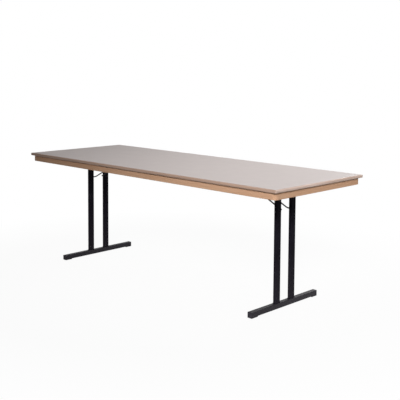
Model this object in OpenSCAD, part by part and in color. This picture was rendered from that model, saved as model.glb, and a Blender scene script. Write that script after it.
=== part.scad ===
// Folding banquet table: a laminated top on a beech apron, carried by two
// T-foot legs that fold in under the top. Each leg is held open by a wire bow.
// Origin on the floor under the middle of the top. +X runs along the top,
// -Y is the front side and +Z is up. Sizes are in millimetres.

/* [Top] */
// Length of the top over its edging
top_length = 2200; // [2000:10:2600]
// Width of the top over its edging
top_width = 800; // [700:10:1000]
// Height of the top face above the floor
table_height = 740; // [700:5:770]
// Thickness of the core board
core_thickness = 16.4; // [14:0.2:22]
// Thickness of each laminate sheet
laminate_thickness = 0.8; // [0.6:0.1:1.2]
// Width of the edging strip, seen from above
edging_width = 8; // [7:0.5:12]
// Radius of the edging's upper and lower rounding
edge_round = 6; // [2:0.5:7]
// Radius that eases the upright corners of the edging
corner_ease = 4; // [1:0.5:6]

/* [Apron] */
// Distance from the edge of the top to the apron's outer face
apron_inset = 13; // [10:1:40]
// Height of the apron rails
apron_height = 38; // [36:1:60]
// Thickness of the apron rails
apron_thickness = 19; // [16:1:21]
// Outer radius of the apron's upright corners
apron_corner = 22; // [22:1:40]
// Rounding along the apron's lower edges
apron_arris = 3; // [1:0.5:5]
// Length of each glued side of a corner block
block_leg = 60; // [45:1:80]
// Distance from the apron's lower edge up to the corner blocks
block_setback = 6; // [2:1:12]

/* [Legs] */
// Distance from the end of the top to the middle of the columns
leg_inset = 250; // [180:5:340]
// Distance between the middles of the two columns of a leg
column_spacing = 132; // [125:1:180]
// Size of a column along the foot
column_width = 40; // [30:1:42]
// Size of a column along the table
column_depth = 20; // [16:1:24]
// Wall of the steel tubes
tube_wall = 2; // [1.5:0.5:2.5]
// Outer corner radius of the steel tubes
tube_corner = 3; // [2.5:0.5:4]
// Length of the foot over its caps
foot_length = 600; // [450:10:680]
// Height and width of the foot tube
foot_section = 30; // [26:1:34]
// Outer diameter of the tube that joins the column tops
cross_tube_d = 18; // [16:1:20]

/* [Foot caps] */
// Thickness of the cap's head beyond the end of the tube
cap_head = 7; // [5:1:12]
// Length of the plug inside the tube
cap_plug = 24; // [15:1:40]
// Thickness of the sole under the tube
sole_thickness = 3; // [2:0.5:6]
// Length of the sole from the end of the foot
sole_length = 58; // [40:1:90]
// Radius of the rounding round the head
cap_round = 5; // [2:0.5:6]

/* [Hinge] */
// Distance from the underside of the top down to the hinge axis
pivot_drop = 20; // [19:0.5:26]
// Diameter of the hinge rod
pivot_rod_d = 10; // [8:1:12]
// Thickness of the folded steel sheet of the bracket
bracket_sheet = 2.5; // [2:0.5:3]
// Half length of the bracket's plate along the table
bracket_half = 38; // [30:1:50]
// Radius of the bracket's ears round the hinge rod
ear_radius = 13; // [11:0.5:14]
// Half width of the ears where they leave the plate
ear_root = 24; // [18:1:28]
// Thickness of the plain washers beside the columns
washer_thickness = 1.5; // [1:0.5:3]
// Width of the bar that stops the leg upright
stop_bar_width = 8; // [6:1:12]

/* [Wire bow] */
// Diameter of the bow's wire
wire_d = 8; // [6:0.5:9]
// Distance from the hinge axis down to the bow's pivots
bow_pivot_drop = 143; // [120:1:180]
// Distance from the bow's pivots to its crossbar
bow_reach = 325; // [300:5:380]
// Distance between the bow's two arms
bow_arm_spacing = 61; // [56:1:64]
// Length of the flatter stretch beside the columns
bow_foot_length = 16; // [15:1:50]
// Angle of the flatter stretch above level, leg open
bow_foot_angle = 16; // [8:1:20]
// Bend radius where the wire turns into a column
bow_tip_bend = 8; // [7:0.5:9]
// Bend radius of the slight bend in each arm
bow_knee_bend = 24; // [16:1:40]
// Bend radius at the ends of the crossbar
bow_corner_bend = 13; // [11:1:15]

/* [Catch rail] */
// Thickness of the rail's folded steel sheet
rail_sheet = 2; // [1.5:0.5:2.5]
// Width of the rail over its two flanges
rail_width = 28; // [24:1:32]
// Length of the rail beyond each hook
rail_overrun = 6; // [3:1:20]
// Distance that the hooks reach below the middle of the wire
hook_depth = 4; // [3:0.5:5]
// Thickness of the plain side of a hook
hook_side = 6; // [4:0.5:10]
// Width of the tip of a hook's sloping side
hook_tip = 2; // [1:0.5:4]
// Slope of a hook's sloping side
hook_slope = 35; // [30:1:50]

/* [Screws] */
// Diameter of the screws' shanks
screw_d = 4; // [3:0.5:5]
// Diameter of the screws' heads
screw_head_d = 8; // [7:0.5:9]
// Height of the screws' heads
screw_head_h = 2.6; // [2:0.2:3]
// Depth that the screws bite into the top
screw_bite = 12; // [8:1:13]
// Diameter of the deep holes for screw heads in wood
counterbore_d = 11; // [10:0.5:12]
// Depth of those holes in the apron rails
apron_counterbore = 14; // [8:1:20]
// Depth of those holes in the corner blocks
block_counterbore = 10; // [6:1:16]
// Screws in each long apron rail
long_rail_screws = 6; // [3:1:9]
// Screws in each short apron rail
short_rail_screws = 3; // [2:1:4]
// Distance from the ends of the top to the first screw of a long rail
long_screw_margin = 160; // [120:5:250]
// Distance from the long edges to the first screw of a short rail
short_screw_margin = 150; // [120:5:200]

/* [Hidden] */
$fn = 48;

// Clearances
running_gap = 0.1;      // between a turning shaft and its hole
side_gap = 0.25;        // on each face of a washer
seat_gap = 0.3;         // between a stop or seat and what rests on it
swing_gap = 1;          // between the swinging column tops and the bracket
stowed_gap = 0.9;       // on each side of the wire in the stowed seat
snap_pinch = 0.3;       // by which each side of the open seat's mouth is narrow
screw_gap = 0.1;        // round a screw's shank
plug_gap = 0.2;         // between a cap's plug and the tube
cut = 1;                // how far a cutting shape runs past the face it cuts

// Levels and places
top_thickness = core_thickness + 2 * laminate_thickness;
underside_z = table_height - top_thickness;
apron_z = underside_z - apron_height;
leg_x = top_length / 2 - leg_inset;
pivot_z = underside_z - pivot_drop;
column_y = column_spacing / 2;
column_inner_y = column_y - column_width / 2;
column_outer_y = column_y + column_width / 2;
foot_top_z = sole_thickness + foot_section;

// The column tops stay inside the circle that clears the bracket's plate
swing_radius = pivot_drop - bracket_sheet - swing_gap;
column_top_z = pivot_z + sqrt(pow(swing_radius, 2) - pow(column_depth / 2, 2));

// Bracket
ear_inner_y = column_outer_y + washer_thickness + 2 * side_gap;
ear_outer_y = ear_inner_y + bracket_sheet;
sheet_bend = 1;         // inner radius of every fold in sheet steel
ear_steps = 24;         // flats round the end of an ear
plate_corner = 8;       // rounding of the bracket's corners, seen from above
rod_head_d = pivot_rod_d + 6;
rod_head_h = 4;
rod_rim = 1;            // upright edge of the rod's domed head
rod_chamfer = 1;        // at the rod's plain end
rod_stub = 4;           // length of the rod's plain end beyond the ear
cap_wall = 2;           // wall of the cap pressed on the rod's plain end
cap_rim = 1.5;          // width of the cap's rolled rim
cap_rim_height = 1.2;
cap_rise = 2.5;         // height of the cap's dome
dome_steps = 8;         // rings of a dome
washer_d = pivot_rod_d + 10;
washer_ease = 0.4;      // chamfer round a washer's outer edges
bar_ease = 1;           // rounding along the stop bar's edges
bracket_screw_x = bracket_half - 9;
bracket_screw_y = [-56, 0, 56];

// Bow: its crossbar lies level with the hinge axis both open and stowed
bow_angle = asin(bow_pivot_drop / bow_reach);
bow_pivot_z = pivot_z - bow_pivot_drop;
open_seat_x = leg_x - bow_reach * cos(bow_angle);
stowed_seat_x = leg_x - bow_pivot_drop - bow_reach;
bow_arm_y = bow_arm_spacing / 2;
bow_tip = 8;            // length of the wire's ends inside the columns
bow_tip_y = column_inner_y + tube_wall + bow_tip;
splice = 0.5;           // by which straight wire runs into its bends
bend_thinning = 0.1;    // by which bent wire is thinner than straight wire
knee_x = bow_foot_length * cos(bow_foot_angle);
knee_z = bow_foot_length * sin(bow_foot_angle);
bow_arm_x = bow_reach * cos(bow_angle) - knee_x;
bow_arm_z = bow_pivot_drop - knee_z;
bow_arm_angle = atan2(bow_arm_z, bow_arm_x);
bow_arm_length = norm([bow_arm_x, bow_arm_z]);
knee_turn = bow_arm_angle - bow_foot_angle;
knee_tangent = bow_knee_bend * tan(knee_turn / 2);

// Catch rail
seat_radius = wire_d / 2 + seat_gap;
stowed_radius = wire_d / 2 + stowed_gap;
runner_rise = seat_radius;      // lower edge of the flanges above the wire's middle
hook_run = (runner_rise + hook_depth) / tan(hook_slope);
rail_start_x = stowed_seat_x - stowed_radius - hook_side - rail_overrun;
rail_end_x = open_seat_x + seat_radius + hook_side + rail_overrun;
flange_ease = 2;        // chamfer at the lower ends of the flanges
hook_ease = 1;          // chamfer under the plain side of a hook
rail_screw_inset = 22;  // from the ends of the rail to its outer screws
rail_screws = 4;

// Colours
laminate_colour = [0.80, 0.76, 0.74];
edging_colour = [0.70, 0.60, 0.54];
beech_colour = [0.76, 0.58, 0.42];
board_colour = [0.66, 0.55, 0.41];
black_colour = [0.10, 0.09, 0.11];
zinc_colour = [0.72, 0.73, 0.74];
nylon_colour = [0.88, 0.87, 0.83];

// Places of the screws, seen from above
function spread(count, span) = [for (i = [0:count - 1]) i * span / (count - 1) - span / 2];
long_screw_spots = spread(long_rail_screws, top_length - 2 * long_screw_margin);
short_screw_spots = spread(short_rail_screws, top_width - 2 * short_screw_margin);
rail_middle = apron_inset + apron_thickness / 2;
apron_screw_spots = concat(
    [for (x = long_screw_spots, s = [-1, 1]) [x, s * (top_width / 2 - rail_middle)]],
    [for (y = short_screw_spots, s = [-1, 1]) [s * (top_length / 2 - rail_middle), y]]
);
block_corner = [
    top_length / 2 - apron_inset - apron_thickness,
    top_width / 2 - apron_inset - apron_thickness
];
block_screw_inset = block_leg * 0.3;
block_screw_spots = [
    for (sx = [-1, 1], sy = [-1, 1])
        [sx * (block_corner[0] - block_screw_inset), sy * (block_corner[1] - block_screw_inset)]
];
bracket_screw_spots = [
    for (s = [-1, 1], y = bracket_screw_y) [leg_x + s * bracket_screw_x, y]
];
rail_screw_spots = [
    for (x = spread(rail_screws, rail_end_x - rail_start_x - 2 * rail_screw_inset))
        [(rail_start_x + rail_end_x) / 2 + x, 0]
];
side_screw_spots = concat(bracket_screw_spots, rail_screw_spots);
board_screw_spots = concat(
    apron_screw_spots,
    block_screw_spots,
    side_screw_spots,
    [for (p = side_screw_spots) [-p[0], p[1]]]
);

// Everything on the left is the mirror image of the right
module on_left() {
    mirror([1, 0, 0]) children();
}

// A rectangle in the plane with rounded corners, centred
module rounded_rectangle(size, radius) {
    square([size[0] - 2 * radius, size[1]], center = true);
    square([size[0], size[1] - 2 * radius], center = true);
    for (sx = [-1, 1], sy = [-1, 1])
        translate([sx * (size[0] / 2 - radius), sy * (size[1] / 2 - radius)])
            circle(radius);
}

// Extrudes a section drawn as [along Y, up] along X
module along_x(length) {
    rotate([90, 0, 90]) linear_extrude(length) children();
}

// Extrudes a section drawn as [along X, up] along Y, centred on Y = 0
module along_y(length) {
    translate([0, length / 2, 0]) rotate([90, 0, 0]) linear_extrude(length) children();
}

// A round bar or bore along Y, centred on Y = 0
module bar_y(diameter, length) {
    rotate([90, 0, 0]) cylinder(d = diameter, h = length, center = true);
}

// Wood screw pointing up, with the face that its head bears on at Z = 0
module screw(length) {
    tip = screw_d;
    rotate_extrude()
        polygon([
            [0, -screw_head_h],
            [screw_head_d * 0.3, -screw_head_h],
            [screw_head_d / 2, -screw_head_h * 0.4],
            [screw_head_d / 2, 0],
            [screw_d / 2, 0],
            [screw_d / 2, length - tip],
            [0, length]
        ]);
}

// Screws at the given spots, whose heads bear on a face below the underside
module screws(spots, grip) {
    color(zinc_colour)
        for (p = spots)
            translate([p[0], p[1], underside_z - grip]) screw(grip + screw_bite);
}

// Holes for screw shanks at the given spots
module screw_holes(spots, from_z, to_z) {
    for (p = spots)
        translate([p[0], p[1], from_z])
            cylinder(d = screw_d + 2 * screw_gap, h = to_z - from_z);
}

// Top

module sheet(from_z, thickness) {
    size = [top_length - 2 * edging_width, top_width - 2 * edging_width];
    translate([-size[0] / 2, -size[1] / 2, from_z]) cube([size[0], size[1], thickness]);
}

module top_laminate() {
    color(laminate_colour) sheet(table_height - laminate_thickness, laminate_thickness);
}

module core_board() {
    color(board_colour)
        difference() {
            sheet(underside_z + laminate_thickness, core_thickness);
            screw_holes(board_screw_spots, underside_z, underside_z + screw_bite + cut);
        }
}

module backing_laminate() {
    color(laminate_colour)
        difference() {
            sheet(underside_z, laminate_thickness);
            screw_holes(board_screw_spots, underside_z - cut, underside_z + laminate_thickness + cut);
        }
}

// Section of the edging: inner face at 0, outer face at the edging's width
module edging_section() {
    intersection() {
        square([edging_width, top_thickness]);
        translate([0, top_thickness / 2])
            rounded_rectangle([2 * edging_width, top_thickness], edge_round);
    }
}

// One strip along X at the back, mitred at both ends
module edging_strip(length, width) {
    color(edging_colour)
        intersection() {
            translate([-length / 2, width / 2 - edging_width, underside_z])
                along_x(length) edging_section();
            translate([0, 0, underside_z - cut])
                linear_extrude(top_thickness + 2 * cut)
                    polygon([
                        [length / 2, width / 2],
                        [-length / 2, width / 2],
                        [-length / 2 + edging_width, width / 2 - edging_width],
                        [length / 2 - edging_width, width / 2 - edging_width]
                    ]);
            translate([0, 0, underside_z - cut])
                linear_extrude(top_thickness + 2 * cut)
                    rounded_rectangle([length, width], corner_ease);
        }
}

// Apron

// Section of a rail: outer face at 0, lower edge at 0
module apron_section() {
    translate([-apron_thickness, apron_arris])
        square([apron_thickness, apron_height - apron_arris]);
    translate([apron_arris - apron_thickness, 0])
        square([apron_thickness - 2 * apron_arris, 2 * apron_arris]);
    translate([apron_arris - apron_thickness, apron_arris]) circle(apron_arris);
    translate([-apron_arris, apron_arris]) circle(apron_arris);
}

// One rail along X at the back, with half of a rounded corner at each end
module apron_rail(length, width, spots) {
    run = length - 2 * (apron_inset + apron_corner);
    face = width / 2 - apron_inset;
    color(beech_colour)
        difference() {
            translate([0, 0, apron_z]) {
                translate([-run / 2, face, 0]) along_x(run) apron_section();
                for (side = [0, 1])
                    mirror([side, 0, 0])
                        translate([-run / 2, face - apron_corner, 0])
                            rotate(90)
                                rotate_extrude(angle = 45) translate([apron_corner, 0]) apron_section();
            }
            for (x = spots)
                translate([x, width / 2 - rail_middle, apron_z - cut]) {
                    cylinder(d = counterbore_d, h = apron_counterbore + cut);
                    cylinder(d = screw_d + 2 * screw_gap, h = apron_height + 2 * cut);
                }
        }
}

// Three-cornered blocks glued into the apron's corners
module corner_blocks() {
    nose = apron_corner - apron_thickness + cut;
    height = apron_height - block_setback;
    color(beech_colour)
        for (sx = [0, 1], sy = [0, 1])
            mirror([sx, 0, 0]) mirror([0, sy, 0])
                difference() {
                    translate([block_corner[0], block_corner[1], underside_z - height])
                        linear_extrude(height)
                            polygon([[-nose, 0], [-block_leg, 0], [0, -block_leg], [0, -nose]]);
                    translate([
                        block_corner[0] - block_screw_inset,
                        block_corner[1] - block_screw_inset,
                        underside_z - height - cut
                    ]) {
                        cylinder(d = counterbore_d, h = block_counterbore + cut);
                        cylinder(d = screw_d + 2 * screw_gap, h = height + 2 * cut);
                    }
                }
}

// Hinge

// Section of a folded channel that opens downwards, its back at height 0
module channel_section(width, height, sheet) {
    difference() {
        arch(width, height, sheet_bend + sheet);
        translate([0, -sheet]) arch(width - 2 * sheet, height, sheet_bend);
    }
}

// A rectangle hanging from height 0 with its upper corners rounded
module arch(width, height, radius) {
    translate([-width / 2, -height]) square([width, height - radius]);
    translate([radius - width / 2, -height]) square([width - 2 * radius, height]);
    for (s = [-1, 1])
        translate([s * (width / 2 - radius), -radius]) circle(radius);
}

// Side view of an ear, with the hinge axis at the origin
module ear_outline() {
    root = [ear_root, pivot_drop - bracket_sheet];
    tangent = atan2(root[1], root[0]) - acos(ear_radius / norm(root));
    turn = 180 + 2 * tangent;
    polygon(concat(
        [[-root[0], pivot_drop], [root[0], pivot_drop], root],
        [for (i = [0:ear_steps]) let(a = tangent - i * turn / ear_steps) ear_radius * [cos(a), sin(a)]],
        [[-root[0], root[1]]]
    ));
}

module hinge_bracket() {
    color(black_colour)
        difference() {
            intersection() {
                translate([leg_x - bracket_half, 0, underside_z])
                    along_x(2 * bracket_half)
                        channel_section(2 * ear_outer_y, pivot_drop + ear_radius + cut, bracket_sheet);
                union() {
                    translate([leg_x, 0, pivot_z])
                        along_y(2 * ear_outer_y + 2 * cut) ear_outline();
                    translate([leg_x, 0, underside_z - bracket_sheet])
                        linear_extrude(bracket_sheet)
                            rounded_rectangle([2 * bracket_half, 2 * ear_outer_y], plate_corner);
                }
            }
            translate([leg_x, 0, pivot_z])
                bar_y(pivot_rod_d + 2 * running_gap, 2 * ear_outer_y + 2 * cut);
            screw_holes(bracket_screw_spots, underside_z - bracket_sheet - cut, underside_z + cut);
        }
}

// Square bar welded under the bracket's plate: the column tops stop on it
module stop_bar() {
    height = pivot_drop - bracket_sheet - column_depth / 2 - seat_gap;
    color(black_colour)
        translate([
            leg_x - column_depth / 2 - seat_gap - stop_bar_width / 2,
            0,
            underside_z - bracket_sheet - height / 2
        ])
            along_y(2 * column_outer_y) rounded_rectangle([stop_bar_width, height], bar_ease);
}

// Half of the section of a round piece, turned about an axis along Y.
// The section is drawn as [distance from the axis, place along Y].
module turned_y(section) {
    rotate([-90, 0, 0]) rotate_extrude() polygon(section);
}

// Quarter of a dome's outline, from its rim out to the axis
function dome(radius, from_y, rise) = [
    for (i = [0:dome_steps])
        let(a = 90 * i / dome_steps)
            [radius * cos(a), from_y + rise * sin(a)]
];

// Steel rod with a domed head at the front and a plain end at the back
module hinge_rod() {
    head = dome(rod_head_d / 2, -ear_outer_y - rod_rim, rod_rim - rod_head_h);
    end = ear_outer_y + rod_stub;
    color(zinc_colour)
        translate([leg_x, 0, pivot_z])
            turned_y(concat(
                [for (i = [dome_steps:-1:0]) head[i]],
                [
                    [rod_head_d / 2, -ear_outer_y],
                    [pivot_rod_d / 2, -ear_outer_y],
                    [pivot_rod_d / 2, end - rod_chamfer],
                    [pivot_rod_d / 2 - rod_chamfer, end],
                    [0, end]
                ]
            ));
}

// Domed cap pressed over the rod's plain end
module rod_cap() {
    bore = pivot_rod_d / 2 + running_gap;
    wall = bore + cap_wall;
    depth = rod_stub + seat_gap;
    color(zinc_colour)
        translate([leg_x, ear_outer_y + seat_gap, pivot_z])
            turned_y(concat(
                [
                    [bore, 0],
                    [wall + cap_rim, 0],
                    [wall + cap_rim, cap_rim_height / 2],
                    [wall + cap_rim / 2, cap_rim_height],
                    [wall, cap_rim_height]
                ],
                dome(wall, depth, cap_rise),
                [[0, depth], [bore, depth]]
            ));
}

// Plain washers beside the columns, their outer edges eased
module hinge_washers() {
    bore = pivot_rod_d / 2 + running_gap;
    rim = washer_d / 2;
    color(nylon_colour)
        for (s = [-1, 1])
            translate([leg_x, s * (column_outer_y + side_gap + washer_thickness / 2), pivot_z])
                turned_y([
                    [bore, -washer_thickness / 2],
                    [rim - washer_ease, -washer_thickness / 2],
                    [rim, washer_ease - washer_thickness / 2],
                    [rim, washer_thickness / 2 - washer_ease],
                    [rim - washer_ease, washer_thickness / 2],
                    [bore, washer_thickness / 2]
                ]);
}

// Leg frame

// Section of a square steel tube
module tube_section(size) {
    difference() {
        rounded_rectangle(size, tube_corner);
        rounded_rectangle(
            [size[0] - 2 * tube_wall, size[1] - 2 * tube_wall],
            max(tube_corner - tube_wall, 0.5)
        );
    }
}

// Front column; the back one is its mirror image
module column() {
    color(black_colour)
        difference() {
            translate([leg_x, -column_y, foot_top_z])
                linear_extrude(column_top_z - foot_top_z)
                    tube_section([column_depth, column_width]);
            translate([leg_x, -column_y, pivot_z])
                bar_y(pivot_rod_d + 2 * running_gap, column_width + 2 * cut);
            translate([leg_x, -column_inner_y, bow_pivot_z])
                bar_y(wire_d + 2 * running_gap, 2 * tube_wall + 2 * cut);
        }
}

module cross_tube() {
    color(black_colour)
        translate([leg_x, 0, pivot_z])
            difference() {
                bar_y(cross_tube_d, 2 * column_inner_y);
                bar_y(cross_tube_d - 2 * tube_wall, 2 * column_inner_y + 2 * cut);
            }
}

module foot_tube() {
    color(black_colour)
        translate([leg_x, 0, sole_thickness + foot_section / 2])
            along_y(foot_length - 2 * cap_head) tube_section([foot_section, foot_section]);
}

// Plastic cap at the front end of the foot: head, plug and sole in one moulding
module foot_cap() {
    inner = foot_section - 2 * tube_wall - 2 * plug_gap;
    plug_corner = 1;
    wall = 4;
    head_height = foot_section + sole_thickness;
    color(black_colour)
        translate([leg_x, -foot_length / 2, 0]) {
            intersection() {
                translate([0, cap_head / 2, head_height / 2])
                    along_y(cap_head) rounded_rectangle([foot_section, head_height], tube_corner);
                translate([0, foot_section / 2, -cut])
                    linear_extrude(head_height + 2 * cut)
                        rounded_rectangle([foot_section, foot_section], cap_round);
                translate([-foot_section / 2, foot_section / 2, head_height / 2])
                    along_x(foot_section) rounded_rectangle([foot_section, head_height], cap_round);
            }
            difference() {
                translate([0, cap_head + cap_plug / 2, sole_thickness + foot_section / 2])
                    along_y(cap_plug) rounded_rectangle([inner, inner], plug_corner);
                translate([0, cap_head + cap_plug / 2 + cut, sole_thickness + foot_section / 2])
                    for (x = [-1, 1])
                        translate([x * inner / 4, 0, 0])
                            cube([inner / 2 - wall, cap_plug, inner - wall], center = true);
            }
            sole();
        }
}

// Sole of a foot cap, with a sloping inner end
module sole() {
    slope = 2 * sole_thickness;
    translate([-foot_section / 2, 0, 0])
        along_x(foot_section)
            polygon([
                [cap_head / 2, 0],
                [sole_length - slope, 0],
                [sole_length, sole_thickness],
                [cap_head / 2, sole_thickness]
            ]);
}

// Wire bow

// A straight length of wire going up from the origin; children follow at its end
module wire(length) {
    translate([0, 0, -splice]) cylinder(d = wire_d, h = length + 2 * splice);
    translate([0, 0, length]) children();
}

// A bend of the wire from up towards +X, drawn a little thin as bent wire is
module wire_bend(radius, angle) {
    translate([radius, 0, 0])
        rotate([90, 0, 0])
            rotate(180 - angle)
                rotate_extrude(angle = angle) translate([radius, 0]) circle(d = wire_d - bend_thinning);
    translate([radius, 0, 0]) rotate([0, angle, 0]) translate([-radius, 0, 0]) children();
}

// Front arm of the bow, from the end of the crossbar to its tip in the column
module bow_arm() {
    translate([open_seat_x, bow_corner_bend - bow_arm_y, pivot_z])
        rotate([90, 0, 0])
            rotate(-bow_arm_angle)
                wire_bend(bow_corner_bend, 90)
                    rotate(90)
                        wire(bow_arm_length - knee_tangent - bow_corner_bend)
                            wire_bend(bow_knee_bend, knee_turn)
                                wire(bow_foot_length - knee_tangent - bow_tip_bend)
                                    rotate(90)
                                        wire_bend(bow_tip_bend, 90)
                                            wire(bow_tip_y - bow_arm_y - bow_tip_bend);
}

module bow() {
    color(black_colour) {
        translate([open_seat_x, 0, pivot_z])
            bar_y(wire_d, 2 * (bow_arm_y - bow_corner_bend + splice));
        bow_arm();
        mirror([0, 1, 0]) bow_arm();
    }
}

// Catch rail

// Side view of a flange, with the hinge axis at height 0
module flange_outline() {
    open_hook = hook_points(open_seat_x, 1, seat_radius);
    stowed_hook = hook_points(stowed_seat_x, -1, stowed_radius);
    polygon(concat(
        [[rail_start_x + flange_ease, runner_rise]],
        stowed_hook,
        [for (i = [len(open_hook) - 1:-1:0]) open_hook[i]],
        [
            [rail_end_x - flange_ease, runner_rise],
            [rail_end_x, runner_rise + flange_ease],
            [rail_end_x, pivot_drop],
            [rail_start_x, pivot_drop],
            [rail_start_x, runner_rise + flange_ease]
        ]
    ));
}

// Corners of a hook, from its plain side, which faces way, to its sloping side
function hook_points(seat_x, way, half_mouth) = [
    [seat_x + way * (half_mouth + hook_side), runner_rise],
    [seat_x + way * (half_mouth + hook_side), hook_ease - hook_depth],
    [seat_x + way * (half_mouth + hook_side - hook_ease), -hook_depth],
    [seat_x - way * (half_mouth + hook_tip), -hook_depth],
    [seat_x - way * (half_mouth + hook_tip + hook_run), runner_rise]
];

// Opening of a seat: round at the top, with a mouth that opens downwards
module seat(x, half_mouth) {
    translate([x, 0, pivot_z]) {
        bar_y(2 * seat_radius, rail_width + 2 * cut);
        translate([-half_mouth, -rail_width / 2 - cut, -hook_depth - cut])
            cube([2 * half_mouth, rail_width + 2 * cut, hook_depth + cut]);
    }
}

module catch_rail() {
    color(zinc_colour)
        difference() {
            intersection() {
                translate([rail_start_x, 0, underside_z])
                    along_x(rail_end_x - rail_start_x)
                        channel_section(rail_width, pivot_drop + hook_depth + cut, rail_sheet);
                translate([0, 0, pivot_z]) along_y(rail_width + 2 * cut) flange_outline();
            }
            seat(stowed_seat_x, stowed_radius);
            seat(open_seat_x, wire_d / 2 - snap_pinch);
            screw_holes(rail_screw_spots, underside_z - rail_sheet - cut, underside_z + cut);
        }
}

core_board();
top_laminate();
backing_laminate();
rotate(180) edging_strip(top_length, top_width);  // front_edging
edging_strip(top_length, top_width);  // back_edging
rotate(90) edging_strip(top_width, top_length);  // left_edging
rotate(-90) edging_strip(top_width, top_length);  // right_edging
rotate(180) apron_rail(top_length, top_width, long_screw_spots);  // front_apron
apron_rail(top_length, top_width, long_screw_spots);  // back_apron
rotate(90) apron_rail(top_width, top_length, short_screw_spots);  // left_apron
rotate(-90) apron_rail(top_width, top_length, short_screw_spots);  // right_apron
screws(apron_screw_spots, apron_height - apron_counterbore);  // apron_screws
corner_blocks();
screws(block_screw_spots, apron_height - block_setback - block_counterbore);  // corner_block_screws

on_left() hinge_bracket();  // left_hinge_bracket
on_left() stop_bar();  // left_stop_bar
on_left() screws(bracket_screw_spots, bracket_sheet);  // left_bracket_screws
on_left() hinge_rod();  // left_hinge_rod
on_left() rod_cap();  // left_rod_cap
on_left() hinge_washers();  // left_hinge_washers
on_left() catch_rail();  // left_catch_rail
on_left() screws(rail_screw_spots, rail_sheet);  // left_catch_rail_screws
on_left() column();  // left_front_column
on_left() mirror([0, 1, 0]) column();  // left_back_column
on_left() cross_tube();  // left_cross_tube
on_left() foot_tube();  // left_foot_tube
on_left() foot_cap();  // left_front_foot_cap
on_left() mirror([0, 1, 0]) foot_cap();  // left_back_foot_cap
on_left() bow();  // left_bow

hinge_bracket();  // right_hinge_bracket
stop_bar();  // right_stop_bar
screws(bracket_screw_spots, bracket_sheet);  // right_bracket_screws
hinge_rod();  // right_hinge_rod
rod_cap();  // right_rod_cap
hinge_washers();  // right_hinge_washers
catch_rail();  // right_catch_rail
screws(rail_screw_spots, rail_sheet);  // right_catch_rail_screws
column();  // right_front_column
mirror([0, 1, 0]) column();  // right_back_column
cross_tube();  // right_cross_tube
foot_tube();  // right_foot_tube
foot_cap();  // right_front_foot_cap
mirror([0, 1, 0]) foot_cap();  // right_back_foot_cap
bow();  // right_bow
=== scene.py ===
"""Finishes, weld beads, screws and a studio for a folding banquet table.

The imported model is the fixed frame: its pieces keep their places, and the operators below give
them their finishes and add the small work that sits on them.
"""

import math
import random

import bmesh
import bpy
from mathutils import Matrix, Vector


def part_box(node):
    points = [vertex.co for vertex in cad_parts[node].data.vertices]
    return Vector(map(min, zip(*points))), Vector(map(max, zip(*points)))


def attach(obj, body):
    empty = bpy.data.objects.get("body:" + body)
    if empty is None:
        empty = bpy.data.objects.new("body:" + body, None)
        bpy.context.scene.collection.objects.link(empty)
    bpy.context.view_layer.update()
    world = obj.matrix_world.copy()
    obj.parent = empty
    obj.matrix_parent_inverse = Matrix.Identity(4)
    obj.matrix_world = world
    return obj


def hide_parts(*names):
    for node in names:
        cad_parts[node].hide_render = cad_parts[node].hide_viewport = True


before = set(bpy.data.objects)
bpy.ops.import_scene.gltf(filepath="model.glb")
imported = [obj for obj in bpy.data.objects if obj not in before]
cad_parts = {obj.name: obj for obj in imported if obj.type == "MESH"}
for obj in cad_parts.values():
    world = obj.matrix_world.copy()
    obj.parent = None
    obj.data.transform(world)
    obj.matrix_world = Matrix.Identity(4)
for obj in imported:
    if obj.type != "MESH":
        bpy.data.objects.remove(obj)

bl_info = {
    "name": "Folding Banquet Table",
    "version": (1, 0, 0),
    "blender": (4, 5, 0),
    "location": "3D View > Sidebar > Banquet Table",
    "description": "Finishes, weld beads, screws and a studio for a folding banquet table",
    "category": "Object",
}

SIDES = ("left", "right")
PLACES = ("front", "back")

# Whether the wood runs along X, and the sides of the top where that is so
GRAIN_RUNS = ((True, PLACES), (False, SIDES))

# Finishes, with lengths in metres
SHADER = "Principled BSDF"
HAIRLINE = 0.00035              # width of the dark line round a laminate
SPECKLE_SHARE = 0.45            # how much a laminate's speckle counts against its clouds
BROAD_SHARE = 0.62              # how much a wood's broad bands count against its fine lines
START_SKEW = (1.0, 0.7, 1.3)    # how far a start moves the cut along each axis
LACQUER_SWING = 0.05            # how far a lacquer's roughness goes to each side
EDGING_START = 3.0              # where in the endless grain the first edging is cut
APRON_START = 11.0              # where the first apron is cut
BLOCKS_START = 21.0             # where the corner blocks are cut
FLOOR_LIGHT_HEIGHT = 0.32              # how far up the legs the painted floor light reaches, paling the paint towards the bottom
BRUSH_SWING = (-0.05, 0.12)     # how far a bright steel's roughness goes down and up
BLOOM_SHARE = 0.35              # how strongly the bloom dulls the zinc

# Weld beads
STOPS_PER_RIPPLE = 5            # stops along a bead from one ripple to the next
BEAD_POINTS = 7                 # points across the face of a bead
BEAD_CROWN = 0.18               # how far the face stands out of a straight fillet
BEAD_WOBBLE = 0.015             # how uneven a bead is from stop to stop
BEAD_ROOT = 0.0002              # how deep its back edge lies in the steel
TAPER_SHARE = 0.12              # share of an open bead over which each end swells
TAPER_START = 0.15              # how far it has swollen at the very end
COLUMN_CORNER = 0.003           # radius of the corners of a column
ARC_REACH = math.radians(42.0)  # how far an arc goes round the cross tube to each side
ARC_SIZE = 0.8                  # size of the arcs against the other beads
STITCHES = (0.14, 0.5, 0.86)    # middles of the stitches along a stop bar
WELD_SEED = 7

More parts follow.
